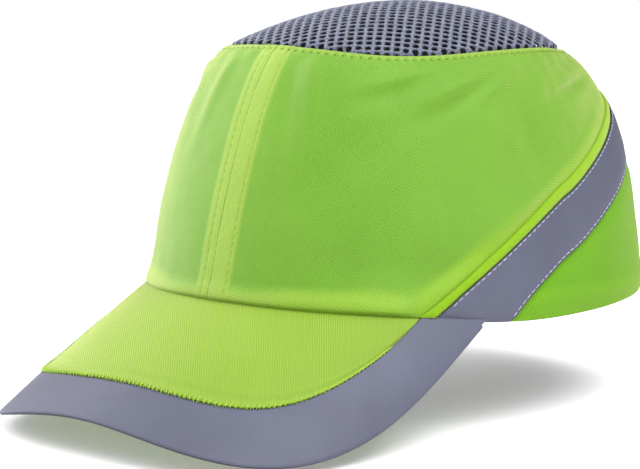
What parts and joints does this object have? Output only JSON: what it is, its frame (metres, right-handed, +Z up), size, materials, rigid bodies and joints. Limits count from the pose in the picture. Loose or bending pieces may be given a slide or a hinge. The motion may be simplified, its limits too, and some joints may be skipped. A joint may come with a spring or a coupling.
{
  "type": "bump cap",
  "caption": "Baseball-style bump cap with stiff visor, mesh crown, reflective tape, hook-and-loop rear strap and a removable plastic shell insert with foam pads.",
  "frame": {"origin": "centre of the head opening, level with the hem at its two sides", "axes": "+Z up through the crown; the visor points along -Y; +X is the wearer's left"},
  "size_m": [0.176, 0.2782, 0.158],
  "materials": {
    "hi_vis_fabric": "fluorescent yellow-green woven polyester",
    "reflective_tape": "satin silver-grey reflective fabric",
    "spacer_mesh": "grey knitted spacer mesh",
    "lining_tape": "soft woven seam tape",
    "visor_board": "plain moulded polyethylene sheet",
    "towelling": "dark towelling",
    "label_cloth": "blank woven label",
    "webbing": "dark ribbed webbing",
    "loop_pile": "soft loop pile",
    "hook_pile": "stiff hook pile",
    "shell_plastic": "satin black ABS",
    "foam": "closed-cell foam"
  },
  "bodies": {
    "cap": {"left_front_panel": "hi_vis_fabric", "right_front_panel": "hi_vis_fabric", "left_rear_panel": "hi_vis_fabric", "right_rear_panel": "hi_vis_fabric", "left_piping": "hi_vis_fabric", "right_piping": "hi_vis_fabric", "left_reflective_band": "reflective_tape", "right_reflective_band": "reflective_tape", "front_seam_tape": "lining_tape", "rear_seam_tape": "lining_tape", "crown_mesh": "spacer_mesh", "mesh_seam_tape": "lining_tape", "visor_top_cover": "hi_vis_fabric", "visor_board": "visor_board", "visor_under_cover": "hi_vis_fabric", "visor_reflective_trim": "reflective_tape", "sweatband": "towelling", "size_label": "label_cloth", "rear_opening_binding": "hi_vis_fabric", "loop_strap": "webbing", "loop_patch": "loop_pile", "hook_strap_root": "webbing"},
    "strap_flap": {"hook_strap": "webbing", "hook_patch": "hook_pile"},
    "insert": {"bump_shell": "shell_plastic", "crown_foam_pad": "foam", "front_foam_pad": "foam", "rear_foam_pad": "foam", "left_foam_pad": "foam", "right_foam_pad": "foam"}
  },
  "joints": [
    {"name": "strap_peel", "type": "hinge", "parent": "cap", "child": "strap_flap", "pos_m": [0.0292, 0.1016, 0.0147], "axis": [0, 0, -1], "range_deg": [0, 120]},
    {"name": "insert_slide", "type": "slide", "parent": "cap", "child": "insert", "axis": [0, 0, -1], "range_m": [0, 0.17]}
  ]
}
